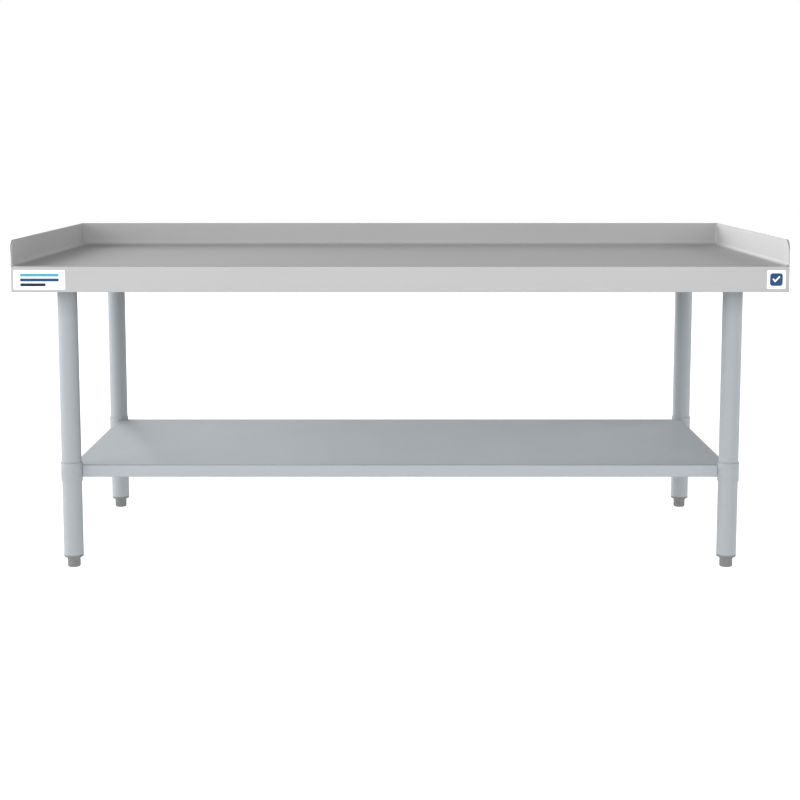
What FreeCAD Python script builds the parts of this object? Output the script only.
import FreeCAD, Part
import math
import os
import re

import Sketcher

# Stainless work table: a folded sheet top with upturned back and sides, on four tube legs,
# with a lift-and-clamp undershelf and screw feet.
# Millimetres. +X is the table's right, -Y its front, +Z up. The origin is on the floor, under the middle.

DIMENSIONS = {
    "width": (1524, "outer face to outer face, left to right"),
    "depth": (762, "apron front face to back face"),
    "surface": (622, "work surface above the floor"),
    "upturn": (50.8, "upturned edges above the work surface"),
    "apron": (51, "apron's height, from the work surface down"),
    "top_sheet": (1.2, "stainless sheet of the worktop"),
    "wall": (3.6, "upturned edge: two skins and the gap between them"),
    "hem_outer": (1.7, "outer bend of the hem on an upturned edge"),
    "hem_inner": (0.5, "inner bend of the hem"),
    "cove": (8, "bend where the work surface turns up"),
    "front_bend": (2, "outer bend of the apron's top edge"),
    "lip_bend": (2.4, "outer bend of the returned bottom edges"),
    "top_lip": (15, "returned bottom edge of the worktop"),
    "rim_joint": (15, "from the outer face to where the flat deck starts"),
    "nose": (30, "rounded front corner of a side upturn"),
    "nose_cap": (2.4, "folded metal that closes a side upturn's front end"),
    "front_corner": (4, "rounding of the vertical front corners"),
    "clear_of": (6, "how far a cutting outline runs past what it cuts"),
    "leg_across": (1338, "leg centre to leg centre, left to right"),
    "leg_along": (583, "leg centre to leg centre, front to back"),
    "leg_dia": (40, "leg tube"),
    "leg_sheet": (1.2, "leg tube's wall"),
    "leg_foot": (26, "bottom end of the tube above the floor"),
    "leg_play": (0.4, "gap round a leg in a socket or collar"),
    "hat_crown": (76, "hat channel: outside of its webs"),
    "hat_brim": (15, "hat channel: one brim"),
    "hat_tall": (18, "hat channel: height"),
    "hat_sheet": (1.5, "hat channel: galvanised sheet"),
    "hat_bend": (2.7, "hat channel: outer bend"),
    "cross_length": (724, "cross channel under the worktop"),
    "centre_length": (1216, "centre channel under the worktop"),
    "shelf_rib_length": (1270, "channel under the shelf"),
    "cross_pitch": (200, "stud spacing along a cross channel"),
    "centre_pitch": (250, "stud spacing along the centre channel"),
    "stud_dia": (5, "weld stud"),
    "stud_tall": (12, "weld stud's length"),
    "stud_hole": (5.6, "hole for a weld stud"),
    "drill_past": (3, "depth of the cut for a stud hole, from the channel's top"),
    "nut_across": (8, "flange nut across its flats"),
    "nut_tall": (4.7, "flange nut's height"),
    "nut_flange": (11.8, "flange nut's flange diameter"),
    "nut_flange_tall": (1.1, "flange nut's flange height"),
    "thread_play": (0.1, "a threaded hole over its screw, on the diameter"),
    "socket_plate": (70, "leg socket's square plate"),
    "socket_sheet": (3, "leg socket's plate thickness"),
    "socket_round": (8, "leg socket's plate corners"),
    "socket_drop": (30, "leg socket's collar below its plate"),
    "ring_dia": (43.3, "outside of a socket or collar ring"),
    "boss_dia": (14, "boss for a set screw"),
    "boss_reach": (28, "leg axis to the boss's face"),
    "grub_dia": (8, "set screw"),
    "grub_long": (9, "set screw's length"),
    "grub_tip": (20.3, "leg axis to the set screw's tip"),
    "grub_key": (4, "set screw's hexagon socket across flats"),
    "grub_key_deep": (3.5, "set screw's hexagon socket depth"),
    "shelf_top": (211, "shelf surface above the floor"),
    "shelf_sheet": (1.2, "galvanised sheet of the shelf"),
    "shelf_flange": (25.4, "turned-down edge of the shelf"),
    "shelf_lip": (12, "returned bottom edge of the shelf"),
    "shelf_bend": (2.6, "outer bend of the shelf's edges"),
    "shelf_joint": (10, "from the shelf's edge to where its flat deck starts"),
    "notch": (22.2, "radius of the shelf's corner cut-outs"),
    "collar_over": (6, "collar ring above the shelf surface"),
    "collar_under": (7, "collar ring below the shelf's turned-down edge"),
    "wing_sheet": (2, "collar wing's thickness"),
    "wing_root": (21.05, "leg axis to where a wing starts, inside the ring's wall"),
    "wing_reach": (62, "leg axis to a wing's end"),
    "wing_gap": (3.5, "a wing's top and bottom clear of the shelf's bends"),
    "wing_skin": (0.05, "gap between a wing and the shelf's edge"),
    "insert_flange": (4.5, "leg insert's flange under the tube"),
    "insert_deep": (34, "leg insert inside the tube"),
    "insert_slip": (0.2, "leg insert under the tube's bore, on the diameter"),
    "insert_edge": (0.8, "rounding of the insert's flange"),
    "foot_gap": (0.1, "foot's top below the insert"),
    "foot_dia": (26.4, "foot's body"),
    "foot_cap": (35, "foot's flared top"),
    "foot_cap_tall": (1, "straight edge of the flared top"),
    "foot_flare": (4.2, "hollow curve under the flared top"),
    "foot_edge": (2.5, "rounding of the foot's bottom edge"),
    "foot_rib": (1.5, "groove between two of the foot's ribs"),
    "foot_rib_out": (13.55, "foot axis to a groove's axis"),
    "foot_rib_low": (3, "grooves start above the floor"),
    "foot_rib_high": (17, "grooves end above the floor"),
    "spindle_dia": (12, "foot's threaded spindle"),
    "spindle_low": (7, "spindle's lower end above the floor"),
    "spindle_high": (62, "spindle's upper end above the floor"),
    "spindle_end": (1, "chamfer on the spindle's upper end"),
    "label_sheet": (0.3, "label's thickness"),
    "label_round": (1.5, "label's corners"),
    "name_wide": (101, "left label's width"),
    "name_low": (576, "left label's lower edge above the floor"),
    "name_high": (614.5, "left label's upper edge above the floor"),
    "name_in": (6.3, "left label's edge from the left face"),
    "mark_wide": (36, "right label's width"),
    "mark_low": (578, "right label's lower edge above the floor"),
    "mark_high": (614, "right label's upper edge above the floor"),
    "mark_in": (8.4, "right label's edge from the right face"),
}

# Each leg: side in X, side in Y, and the turn that points its set screw at the table's middle.
CORNERS = {
    "front_left": (-1, -1, 0),
    "front_right": (1, -1, 90),
    "rear_right": (1, 1, 180),
    "rear_left": (-1, 1, 270),
}
DIAGONAL = 45  # degrees, from a corner towards the middle
FOOT_RIBS = 24

doc = FreeCAD.newDocument("work_table")
sheet = doc.addObject("Spreadsheet::Sheet", "Dims")
for row, (alias, (size, note)) in enumerate(DIMENSIONS.items(), 1):
    sheet.set(f"A{row}", note)
    sheet.set(f"B{row}", str(size))
    sheet.setAlias(f"B{row}", alias)
doc.recompute()

made = {}  # node name: the document object that is written


def linked(text):
    """An expression on the sheet's aliases, as any other object has to write it."""
    return re.sub(r"\b[a-z_]+\b(?!\()", lambda word: "Dims." + word.group(), str(text))


def value(text):
    """What an expression on the sheet's aliases comes to."""
    return float(sheet.evalExpression(str(text)))


def bind(thing, **settings):
    """Binds properties to expressions on the sheet."""
    for name, text in settings.items():
        thing.setExpression(name.replace("_xyz_", ".Base."), linked(text))


def new_body(label):
    body = doc.addObject("PartDesign::Body", label)
    body.Label = label
    made[label] = body
    return body


def sketch_on(body, role, name, offset="0", turn=0):
    """A sketch on one of the body's origin planes, moved along its normal, or turned about its vertical."""
    sketch = body.newObject("Sketcher::SketchObject", name)
    plane = next(o for o in body.Origin.OriginFeatures if o.Role == role)
    sketch.AttachmentSupport = [(plane, "")]
    sketch.MapMode = "FlatFace"
    upright = FreeCAD.Rotation(FreeCAD.Vector(0, 1, 0), turn)
    sketch.AttachmentOffset = FreeCAD.Placement(FreeCAD.Vector(), upright)
    if offset != "0":
        sketch.setExpression("AttachmentOffset.Base.z", linked(offset))
    return sketch


def fix(sketch, kind, datum, *where):
    """A dimension in a sketch, bound to an expression."""
    number = sketch.addConstraint(Sketcher.Constraint(kind, *where, value(datum)))
    name = f"{kind}_{number}"
    sketch.renameConstraint(number, name)
    sketch.setExpression("Constraints." + name, linked(datum))


def fix_point(sketch, x, y, *where):
    """Places a point of a sketch by its distances from the sketch's origin."""
    fix(sketch, "DistanceX", x, -1, 1, *where)
    fix(sketch, "DistanceY", y, -1, 1, *where)


def circles(sketch, *places):
    """Circles, each given as (x, y, diameter)."""
    for x, y, diameter in places:
        centre = FreeCAD.Vector(value(x), value(y), 0)
        radius = value(diameter) / 2
        number = sketch.addGeometry(Part.Circle(centre, FreeCAD.Vector(0, 0, 1), radius))
        fix_point(sketch, x, y, number, 3)
        fix(sketch, "Diameter", diameter, number)


def bend(before, corner, after, radius):
    """The arc that rounds a corner, and whether it runs clockwise from the first side to the second."""
    toward_before = (before - corner).normalize()
    toward_after = (after - corner).normalize()
    half = toward_before.getAngle(toward_after) / 2
    reach = radius / math.tan(half)
    start = corner + toward_before * reach
    end = corner + toward_after * reach
    middle = (toward_before + toward_after).normalize()
    centre = corner + middle * (radius / math.sin(half))
    on_arc = centre - middle * radius
    clockwise = (toward_before.cross(toward_after)).z > 0
    return Part.Arc(start, on_arc, end), start, end, clockwise


def outline(sketch, *corners):
    """A closed outline of straight sides, given as corners (x, y) or rounded corners (x, y, radius)."""
    points = [FreeCAD.Vector(value(c[0]), value(c[1]), 0) for c in corners]
    count = len(corners)
    starts, ends, bends = list(points), list(points), {}
    for i, corner in enumerate(corners):
        if len(corner) == 3:
            arc, ends[i], starts[i], clockwise = bend(
                points[i - 1], points[i], points[(i + 1) % count], value(corner[2])
            )
            bends[i] = sketch.addGeometry(arc), clockwise
    sides = [
        sketch.addGeometry(Part.LineSegment(starts[i], ends[(i + 1) % count]))
        for i in range(count)
    ]
    for i, corner in enumerate(corners):
        into, out = sides[i - 1], sides[i]
        if i not in bends:
            sketch.addConstraint(Sketcher.Constraint("Coincident", into, 2, out, 1))
            fix_point(sketch, corner[0], corner[1], out, 1)
            continue
        arc, clockwise = bends[i]
        first, last = (2, 1) if clockwise else (1, 2)
        sketch.addConstraint(Sketcher.Constraint("Tangent", into, 2, arc, first))
        sketch.addConstraint(Sketcher.Constraint("Tangent", arc, last, out, 1))
        fix(sketch, "Radius", corner[2], arc)
        tip = sketch.addGeometry(Part.Point(points[i]), True)
        fix_point(sketch, corner[0], corner[1], tip, 1)
        sketch.addConstraint(Sketcher.Constraint("PointOnObject", tip, 1, into))
        sketch.addConstraint(Sketcher.Constraint("PointOnObject", tip, 1, out))


def rectangle(sketch, left, low, right, high, *radius):
    """An upright rectangle, with rounded corners if a radius is given."""
    places = (left, low), (right, low), (right, high), (left, high)
    outline(sketch, *[(*place, *radius) for place in places])


def pad(body, sketch, name, length, side="One side", reverse=False):
    feature = body.newObject("PartDesign::Pad", name)
    feature.Profile = sketch
    feature.SideType = side
    feature.Reversed = reverse
    bind(feature, Length=length)
    return feature


def pocket(body, sketch, name, length=None, side="One side", reverse=False):
    """Cuts a sketch's outline by a length, or right through."""
    feature = body.newObject("PartDesign::Pocket", name)
    feature.Profile = sketch
    feature.SideType = side
    feature.Reversed = reverse
    if length is None:
        feature.Type = "ThroughAll"
    else:
        bind(feature, Length=length)
    return feature


def mirror(body, feature, role, name):
    copy = body.newObject("PartDesign::Mirrored", name)
    copy.Originals = [feature]
    copy.MirrorPlane = (next(o for o in body.Origin.OriginFeatures if o.Role == role), [""])
    body.Tip = copy
    return copy


def revolve(body, name, *corners):
    """A turned solid about the body's Z axis, from its half outline in (radius, height)."""
    sketch = sketch_on(body, "XZ_Plane", name + "_half")
    outline(sketch, *corners)
    feature = body.newObject("PartDesign::Revolution", name)
    feature.Profile = sketch
    feature.ReferenceAxis = (sketch, ["V_Axis"])
    return feature


def ring(body, name, low, high, outer, inner):
    sketch = sketch_on(body, "XY_Plane", name + "_round", low)
    circles(sketch, ("0", "0", outer), ("0", "0", inner))
    return pad(body, sketch, name, f"{high} - ({low})")


def at_corner(thing, corner, turned=False):
    """Puts a piece that is built on the Z axis at a leg's axis."""
    side_x, side_y, turn = CORNERS[corner]
    if turned:
        thing.Placement = FreeCAD.Placement(FreeCAD.Vector(), FreeCAD.Rotation(turn, 0, 0))
    bind(
        thing,
        Placement_xyz_x=f"{side_x} * leg_across / 2",
        Placement_xyz_y=f"{side_y} * leg_along / 2",
    )


# ---- worktop -------------------------------------------------------------------------------------

def worktop():
    body = new_body("worktop")
    worktop_rim(body)
    deck = sketch_on(body, "XY_Plane", "deck_plan", "surface - top_sheet")
    half_wide, half_deep = "width / 2 - rim_joint", "depth / 2 - rim_joint"
    rectangle(deck, f"-({half_wide})", f"-({half_deep})", half_wide, half_deep)
    pad(body, deck, "deck", "top_sheet")
    apron = sketch_on(body, "YZ_Plane", "apron_section")
    outline(apron, *apron_section())
    pad(body, apron, "apron", "width", "Symmetric")
    round_noses(body)
    close_noses(body)
    round_front_corners(body)


def worktop_rim(body):
    """The upturned back and sides in one run: up from the deck, over a hem, and down the outside."""
    path = sketch_on(body, "XY_Plane", "rim_path")
    left, right, front, back = "-width / 2", "width / 2", "-depth / 2", "depth / 2"
    outer = [(left, front), (left, back), (right, back), (right, front)]
    points = [FreeCAD.Vector(value(x), value(y), 0) for x, y in outer]
    runs = [
        path.addGeometry(Part.LineSegment(start, end))
        for start, end in zip(points, points[1:])
    ]
    for i, run in enumerate(runs):
        fix_point(path, *outer[i], run, 1)
        if i:
            path.addConstraint(Sketcher.Constraint("Coincident", runs[i - 1], 2, run, 1))
    fix_point(path, *outer[-1], runs[-1], 2)
    section = sketch_on(body, "XZ_Plane", "rim_section", "depth / 2")
    outline(section, *rim_section())
    rim = body.newObject("PartDesign::AdditivePipe", "rim")
    rim.Profile = section
    rim.Spine = (path, ["Edge1", "Edge2", "Edge3"])
    rim.Mode = "Standard"
    rim.Transition = "Right corner"


def rim_section():
    """The left upturned edge as (x, z) corners, from its returned bottom lip round to the deck and back."""
    face = "-width / 2"
    low, top, deck = "surface - apron", "surface + upturn", "surface"
    sheet_in = f"{face} + wall - top_sheet"
    return [
        (f"{face} + top_lip", low),
        (face, low, "lip_bend"),
        (face, top, "hem_outer"),
        (f"{face} + wall", top, "hem_outer"),
        (f"{face} + wall", deck, "cove"),
        (f"{face} + rim_joint", deck),
        (f"{face} + rim_joint", f"{deck} - top_sheet"),
        (sheet_in, f"{deck} - top_sheet", "cove + top_sheet"),
        (sheet_in, f"{top} - top_sheet", "hem_inner"),
        (f"{face} + top_sheet", f"{top} - top_sheet", "hem_inner"),
        (f"{face} + top_sheet", f"{low} + top_sheet", "lip_bend - top_sheet"),
        (f"{face} + top_lip", f"{low} + top_sheet"),
    ]


def apron_section():
    """The front edge as (y, z) corners, turned down from the deck and returned at the bottom."""
    face, low, deck = "-depth / 2", "surface - apron", "surface"
    return [
        (f"{face} + rim_joint", deck),
        (face, deck, "front_bend"),
        (face, low, "lip_bend"),
        (f"{face} + top_lip", low),
        (f"{face} + top_lip", f"{low} + top_sheet"),
        (f"{face} + top_sheet", f"{low} + top_sheet", "lip_bend - top_sheet"),
        (f"{face} + top_sheet", f"{deck} - top_sheet", "front_bend - top_sheet"),
        (f"{face} + rim_joint", f"{deck} - top_sheet"),
    ]


def round_noses(body):
    """Rounds the front top corner of both side upturns."""
    face, top = "-depth / 2", "surface + upturn"
    cut = sketch_on(body, "YZ_Plane", "nose_cut")
    outline(
        cut,
        (face, top, "nose"),
        (f"{face} + nose + clear_of", top),
        (f"{face} + nose + clear_of", f"{top} + clear_of"),
        (f"{face} - clear_of", f"{top} + clear_of"),
        (f"{face} - clear_of", f"{top} - nose - clear_of"),
        (face, f"{top} - nose - clear_of"),
    )
    pocket(body, cut, "nose_round", side="Symmetric")


def close_noses(body):
    """Closes the front end of each side upturn with a folded strip that follows the rounded corner."""
    face, top, low = "-depth / 2", "surface + upturn", "surface - apron"
    strip = sketch_on(body, "YZ_Plane", "nose_strip", "-width / 2")
    outline(
        strip,
        (face, low),
        (f"{face} + nose_cap", low),
        (f"{face} + nose_cap", f"{top} - nose_cap", "nose - nose_cap"),
        (f"{face} + nose + clear_of", f"{top} - nose_cap"),
        (f"{face} + nose + clear_of", top),
        (face, top, "nose"),
    )
    left = pad(body, strip, "nose_left", "wall")
    mirror(body, left, "YZ_Plane", "nose_right")


def round_front_corners(body):
    """Rounds the two vertical corners between the apron and the sides."""
    side, face = "-width / 2", "-depth / 2"
    cut = sketch_on(body, "XY_Plane", "corner_cut")
    outline(
        cut,
        (side, face, "front_corner"),
        (side, f"{face} + front_corner + clear_of"),
        (f"{side} - clear_of", f"{face} + front_corner + clear_of"),
        (f"{side} - clear_of", f"{face} - clear_of"),
        (f"{side} + front_corner + clear_of", f"{face} - clear_of"),
        (f"{side} + front_corner + clear_of", face),
    )
    left = pocket(body, cut, "corner_left", side="Symmetric")
    mirror(body, left, "YZ_Plane", "corner_right")


# ---- channels under the worktop and the shelf ----------------------------------------------------

def hat_channel(label, length, top, holes=()):
    """A hat channel along its own Y, hung with its brims at the height given."""
    body = new_body(label)
    edge, web, inner = "hat_crown / 2 + hat_brim", "hat_crown / 2", "hat_crown / 2 - hat_sheet"
    low = f"{top} - hat_tall"
    right = [
        (inner, f"{low} + hat_sheet", "hat_bend - hat_sheet"),
        (inner, top, "hat_bend"),
        (edge, top),
        (edge, f"{top} - hat_sheet"),
        (web, f"{top} - hat_sheet", "hat_bend - hat_sheet"),
        (web, low, "hat_bend"),
    ]
    left = [(f"-({x})", *rest) for x, *rest in reversed(right)]
    section = sketch_on(body, "XZ_Plane", label + "_section")
    outline(section, *right, *left)
    pad(body, section, label + "_run", length, "Symmetric")
    if holes:
        drilled = sketch_on(body, "XY_Plane", label + "_holes", top)
        circles(drilled, *[(x, y, "stud_hole") for x, y in holes])
        pocket(body, drilled, label + "_drilled", "drill_past")
    return body


def stud_rows(pitch, count):
    """Where a channel's studs stand: a row on each brim, evenly spaced about its middle."""
    across = "(hat_crown + hat_brim) / 2"
    return [
        (f"{side} * {across}", f"{k - (count - 1) / 2} * {pitch}")
        for side in (-1, 1)
        for k in range(count)
    ]


CROSS_STUDS = stud_rows("cross_pitch", 4)
CENTRE_STUDS = stud_rows("centre_pitch", 5)


def channels():
    under = "surface - top_sheet"
    for label, side in (("cross_channel_left", -1), ("cross_channel_right", 1)):
        body = hat_channel(label, "cross_length", under, CROSS_STUDS)
        bind(body, Placement_xyz_x=f"{side} * leg_across / 2")
    sideways = FreeCAD.Placement(FreeCAD.Vector(), FreeCAD.Rotation(90, 0, 0))
    hat_channel("centre_channel", "centre_length", under, CENTRE_STUDS).Placement = sideways
    rib = hat_channel("shelf_channel", "shelf_rib_length", "shelf_top - shelf_sheet")
    rib.Placement = sideways


def stud_places():
    """Every weld stud under the worktop, as (x, y)."""
    crossed = [(f"{side} * leg_across / 2 + {x}", y) for side in (-1, 1) for x, y in CROSS_STUDS]
    return crossed + [(f"-({y})", x) for x, y in CENTRE_STUDS]


def copies(label, pattern, places):
    """One node that holds a copy of a piece at each (x, y, z)."""
    links = []
    for number, (x, y, z) in enumerate(places, 1):
        link = doc.addObject("App::Link", f"{label}_{number}")
        link.LinkedObject = pattern
        bind(link, Placement_xyz_x=x, Placement_xyz_y=y, Placement_xyz_z=z)
        links.append(link)
    return group(label, links)


def group(label, links):
    node = doc.addObject("Part::Compound", label)
    node.Label = label
    node.Links = links
    made[label] = node
    return node


def pattern_body(name):
    """A body that is only copied, and isn't written itself."""
    return doc.addObject("PartDesign::Body", name)


def weld_studs():
    stud = pattern_body("one_weld_stud")
    plan = sketch_on(stud, "XY_Plane", "weld_stud_plan")
    circles(plan, ("0", "0", "stud_dia"))
    pad(stud, plan, "weld_stud_shank", "stud_tall", reverse=True)
    places = [(x, y, "surface - top_sheet") for x, y in stud_places()]
    copies("channel_weld_studs", stud, places)


def hexagon(sketch, across):
    """A hexagon about the sketch's origin, with flats that face up and down."""
    reach, half = f"{across} / sqrt(3)", f"{across} / 2"
    outline(
        sketch,
        (reach, "0"),
        (f"{reach} / 2", half),
        (f"-({reach}) / 2", half),
        (f"-({reach})", "0"),
        (f"-({reach}) / 2", f"-({half})"),
        (f"{reach} / 2", f"-({half})"),
    )


def flange_nuts():
    nut = pattern_body("one_flange_nut")
    flange = sketch_on(nut, "XY_Plane", "flange_plan")
    circles(flange, ("0", "0", "nut_flange"))
    pad(nut, flange, "flange_disc", "nut_flange_tall", reverse=True)
    flats = sketch_on(nut, "XY_Plane", "nut_plan", "-nut_flange_tall")
    hexagon(flats, "nut_across")
    pad(nut, flats, "nut_flats", "nut_tall - nut_flange_tall", reverse=True)
    bore = sketch_on(nut, "XY_Plane", "nut_bore_plan")
    circles(bore, ("0", "0", "stud_dia + thread_play"))
    pocket(nut, bore, "nut_bore", side="Symmetric")
    places = [(x, y, "surface - top_sheet - hat_sheet") for x, y in stud_places()]
    copies("channel_flange_nuts", nut, places)


# ---- legs, sockets and collars -------------------------------------------------------------------

PLATE_LOW = "(surface - top_sheet - hat_tall - socket_sheet)"
SOCKET_GRUB = "(surface - top_sheet - hat_tall - socket_sheet - socket_drop / 2)"
COLLAR_LOW = "(shelf_top - shelf_flange - collar_under)"
COLLAR_GRUB = "(shelf_top - shelf_flange / 2)"
LEG_BORE = "leg_dia - 2 * leg_sheet"


def boss(body, name, height):
    """A boss on the diagonal that points at the table's middle, solid from the leg's axis out."""
    plan = sketch_on(body, "YZ_Plane", name + "_plan", turn=DIAGONAL)
    circles(plan, ("0", height, "boss_dia"))
    pad(body, plan, name, "boss_reach")


def bored(body, name, low, high):
    """The clear bore for the leg."""
    plan = sketch_on(body, "XY_Plane", name + "_plan", high)
    circles(plan, ("0", "0", "leg_dia + 2 * leg_play"))
    pocket(body, plan, name, f"{high} - {low}")


def grub_hole(body, name, height):
    plan = sketch_on(body, "YZ_Plane", name + "_plan", turn=DIAGONAL)
    circles(plan, ("0", height, "grub_dia + thread_play"))
    pocket(body, plan, name, "boss_reach + clear_of", reverse=True)


def leg(corner):
    body = new_body("leg_" + corner)
    ring(body, "tube_" + corner, "leg_foot", PLATE_LOW, "leg_dia", LEG_BORE)
    at_corner(body, corner)


def leg_socket(corner):
    """A square plate welded under the cross channel, with a collar that the leg stands up into."""
    body = new_body("leg_socket_" + corner)
    plate = sketch_on(body, "XY_Plane", "plate_" + corner, PLATE_LOW)
    half = "socket_plate / 2"
    rectangle(plate, f"-{half}", f"-{half}", half, half, "socket_round")
    pad(body, plate, "socket_plate_" + corner, "socket_sheet")
    collar = sketch_on(body, "XY_Plane", "socket_round_" + corner, PLATE_LOW)
    circles(collar, ("0", "0", "ring_dia"))
    pad(body, collar, "socket_collar_" + corner, "socket_drop", reverse=True)
    boss(body, "socket_boss_" + corner, SOCKET_GRUB)
    bored(body, "socket_bore_" + corner, f"({PLATE_LOW} - socket_drop)", PLATE_LOW)
    grub_hole(body, "socket_tap_" + corner, SOCKET_GRUB)
    at_corner(body, corner, turned=True)


def wing(body, name, along_x):
    """A flat wing that lies behind the shelf's turned-down edge."""
    near = "shelf_sheet + wing_skin"
    plan = sketch_on(body, "XY_Plane", name + "_plan", "shelf_top - shelf_flange + wing_gap")
    long = ("wing_root", "wing_reach")
    thick = (near, f"{near} + wing_sheet")
    if along_x:
        rectangle(plan, long[0], thick[0], long[1], thick[1])
    else:
        rectangle(plan, thick[0], long[0], thick[1], long[1])
    pad(body, plan, name, "shelf_flange - 2 * wing_gap")


def shelf_collar(corner):
    """The shelf's corner fitting: a ring round the leg, two wings behind the shelf's edges, and a boss."""
    body = new_body("shelf_collar_" + corner)
    plan = sketch_on(body, "XY_Plane", "collar_plan_" + corner, COLLAR_LOW)
    circles(plan, ("0", "0", "ring_dia"))
    pad(body, plan, "collar_ring_" + corner, f"shelf_top + collar_over - {COLLAR_LOW}")
    wing(body, "wing_x_" + corner, True)
    wing(body, "wing_y_" + corner, False)
    boss(body, "collar_boss_" + corner, COLLAR_GRUB)
    bored(body, "collar_bore_" + corner, COLLAR_LOW, "(shelf_top + collar_over)")
    grub_hole(body, "collar_tap_" + corner, COLLAR_GRUB)
    at_corner(body, corner, turned=True)


def set_screws():
    """Socket set screws: one in each leg socket and one in each shelf collar."""
    grub = pattern_body("one_set_screw")
    plan = sketch_on(grub, "XY_Plane", "grub_plan")
    circles(plan, ("0", "0", "grub_dia"))
    pad(grub, plan, "grub_shank", "grub_long")
    key = sketch_on(grub, "XY_Plane", "grub_key_plan", "grub_long")
    hexagon(key, "grub_key")
    pocket(grub, key, "grub_socket", "grub_key_deep")
    for label, height in (("leg_socket_screws", SOCKET_GRUB), ("shelf_collar_screws", COLLAR_GRUB)):
        links = []
        for corner, (side_x, side_y, turn) in CORNERS.items():
            link = doc.addObject("App::Link", f"{label}_{corner}")
            link.LinkedObject = grub
            outward = FreeCAD.Rotation(FreeCAD.Vector(0, 0, 1), turn + DIAGONAL)
            laid = FreeCAD.Rotation(FreeCAD.Vector(0, 1, 0), 90)
            link.Placement = FreeCAD.Placement(FreeCAD.Vector(), outward.multiply(laid))
            bind(
                link,
                Placement_xyz_x=f"{side_x} * (leg_across / 2 - grub_tip / sqrt(2))",
                Placement_xyz_y=f"{side_y} * (leg_along / 2 - grub_tip / sqrt(2))",
                Placement_xyz_z=height,
            )
            links.append(link)
        group(label, links)


# ---- undershelf ----------------------------------------------------------------------------------

def shelf_edge(face):
    """A turned-down and returned edge of the shelf, as corners (across, height) from its outer face in."""
    low = "shelf_top - shelf_flange"
    inner = f"{face} + shelf_sheet"
    return [
        (f"{face} + shelf_joint", "shelf_top"),
        (face, "shelf_top", "shelf_bend"),
        (face, low, "shelf_bend"),
        (f"{face} + shelf_lip", low),
        (f"{face} + shelf_lip", f"{low} + shelf_sheet"),
        (inner, f"{low} + shelf_sheet", "shelf_bend - shelf_sheet"),
        (inner, "shelf_top - shelf_sheet", "shelf_bend - shelf_sheet"),
        (f"{face} + shelf_joint", "shelf_top - shelf_sheet"),
    ]


def undershelf():
    """A sheet with turned-down edges, whose corners are cut out round the legs."""
    body = new_body("undershelf")
    deck = sketch_on(body, "XY_Plane", "shelf_plan", "shelf_top - shelf_sheet")
    half_wide, half_deep = "leg_across / 2 - shelf_joint", "leg_along / 2 - shelf_joint"
    rectangle(deck, f"-({half_wide})", f"-({half_deep})", half_wide, half_deep)
    pad(body, deck, "shelf_deck", "shelf_sheet")
    front = sketch_on(body, "YZ_Plane", "shelf_front_section")
    outline(front, *shelf_edge("-leg_along / 2"))
    run = pad(body, front, "shelf_front", "leg_across - 2 * shelf_joint", "Symmetric")
    mirror(body, run, "XZ_Plane", "shelf_back")
    left = sketch_on(body, "XZ_Plane", "shelf_left_section")
    outline(left, *shelf_edge("-leg_across / 2"))
    run = pad(body, left, "shelf_left", "leg_along - 2 * shelf_joint", "Symmetric")
    mirror(body, run, "YZ_Plane", "shelf_right")
    notches = sketch_on(body, "XY_Plane", "notch_plan", "shelf_top")
    places = [
        (f"{side_x} * leg_across / 2", f"{side_y} * leg_along / 2", "2 * notch")
        for side_x, side_y, _ in CORNERS.values()
    ]
    circles(notches, *places)
    pocket(body, notches, "notches")


# ---- feet ----------------------------------------------------------------------------------------

def leg_insert(corner):
    """A plastic plug in the leg's end, tapped for the foot's spindle."""
    body = new_body("leg_insert_" + corner)
    bore = "(spindle_dia + thread_play) / 2"
    plug = f"({LEG_BORE} - insert_slip) / 2"
    revolve(
        body,
        "insert_turned_" + corner,
        (bore, "leg_foot - insert_flange"),
        ("leg_dia / 2", "leg_foot - insert_flange", "insert_edge"),
        ("leg_dia / 2", "leg_foot"),
        (plug, "leg_foot"),
        (plug, "leg_foot + insert_deep"),
        (bore, "leg_foot + insert_deep"),
    )
    at_corner(body, corner)


def foot_spindle(corner):
    body = new_body("foot_spindle_" + corner)
    revolve(
        body,
        "spindle_turned_" + corner,
        ("0", "spindle_low"),
        ("spindle_dia / 2", "spindle_low"),
        ("spindle_dia / 2", "spindle_high - spindle_end"),
        ("spindle_dia / 2 - spindle_end", "spindle_high"),
        ("0", "spindle_high"),
    )
    at_corner(body, corner)


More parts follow.
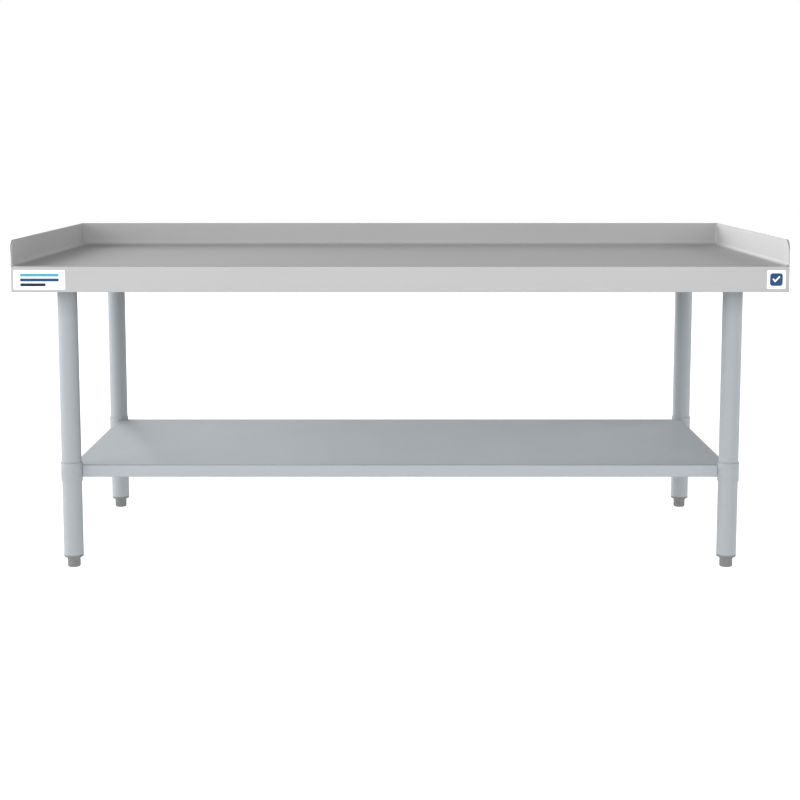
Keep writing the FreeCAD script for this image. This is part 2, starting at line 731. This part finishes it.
def foot(corner):
    """A ribbed foot that flares out under the leg, with a blind hole for its spindle."""
    body = new_body("foot_" + corner)
    top = "(leg_foot - insert_flange - foot_gap)"
    bore = "(spindle_dia + thread_play) / 2"
    floor_of_bore = "spindle_low - foot_gap"
    revolve(
        body,
        "foot_turned_" + corner,
        ("0", "0"),
        ("foot_dia / 2", "0", "foot_edge"),
        ("foot_dia / 2", f"{top} - foot_cap_tall", "foot_flare"),
        ("foot_cap / 2", f"{top} - foot_cap_tall"),
        ("foot_cap / 2", top),
        (bore, top),
        (bore, floor_of_bore),
        ("0", floor_of_bore),
    )
    groove = sketch_on(body, "XY_Plane", "groove_plan_" + corner, "foot_rib_low")
    circles(groove, ("foot_rib_out", "0", "foot_rib"))
    cut = pocket(body, groove, "groove_" + corner, "foot_rib_high - foot_rib_low", reverse=True)
    ribs = body.newObject("PartDesign::PolarPattern", "ribs_" + corner)
    ribs.Originals = [cut]
    ribs.Axis = (groove, ["N_Axis"])
    ribs.Angle = 360
    ribs.Occurrences = FOOT_RIBS
    body.Tip = ribs
    at_corner(body, corner)


# ---- labels on the apron -------------------------------------------------------------------------

def label_plate(label, left, right, low, high):
    body = new_body(label)
    plan = sketch_on(body, "XZ_Plane", label + "_plan", "depth / 2")
    rectangle(plan, left, low, right, high, "label_round")
    pad(body, plan, label + "_film", "label_sheet")


def labels():
    left = "-width / 2 + name_in"
    label_plate("name_label", left, f"{left} + name_wide", "name_low", "name_high")
    right = "width / 2 - mark_in"
    label_plate("mark_label", f"{right} - mark_wide", right, "mark_low", "mark_high")


def check_and_write():
    """Writes one STEP file per node, once every object in the document is sound."""
    doc.recompute()
    for thing in doc.Objects:
        bad = {"Invalid", "Error"} & set(thing.State)
        if bad:
            raise RuntimeError(f"{thing.Label}: {sorted(bad)}")
    for label, node in made.items():
        shape = node.Shape
        if shape.isNull() or not shape.isValid():
            raise RuntimeError(f"{label}: its shape is null or not valid")
    os.makedirs("parts", exist_ok=True)
    for label, node in made.items():
        node.Shape.exportStep(f"parts/{label}.step")
        print(f"{label}: {len(node.Shape.Solids)} solids, {node.Shape.Volume:.0f} mm3")


worktop()
channels()
weld_studs()
flange_nuts()
undershelf()
for name in CORNERS:
    leg_socket(name)
    leg(name)
    shelf_collar(name)
    leg_insert(name)
    foot_spindle(name)
    foot(name)
set_screws()
labels()
check_and_write()
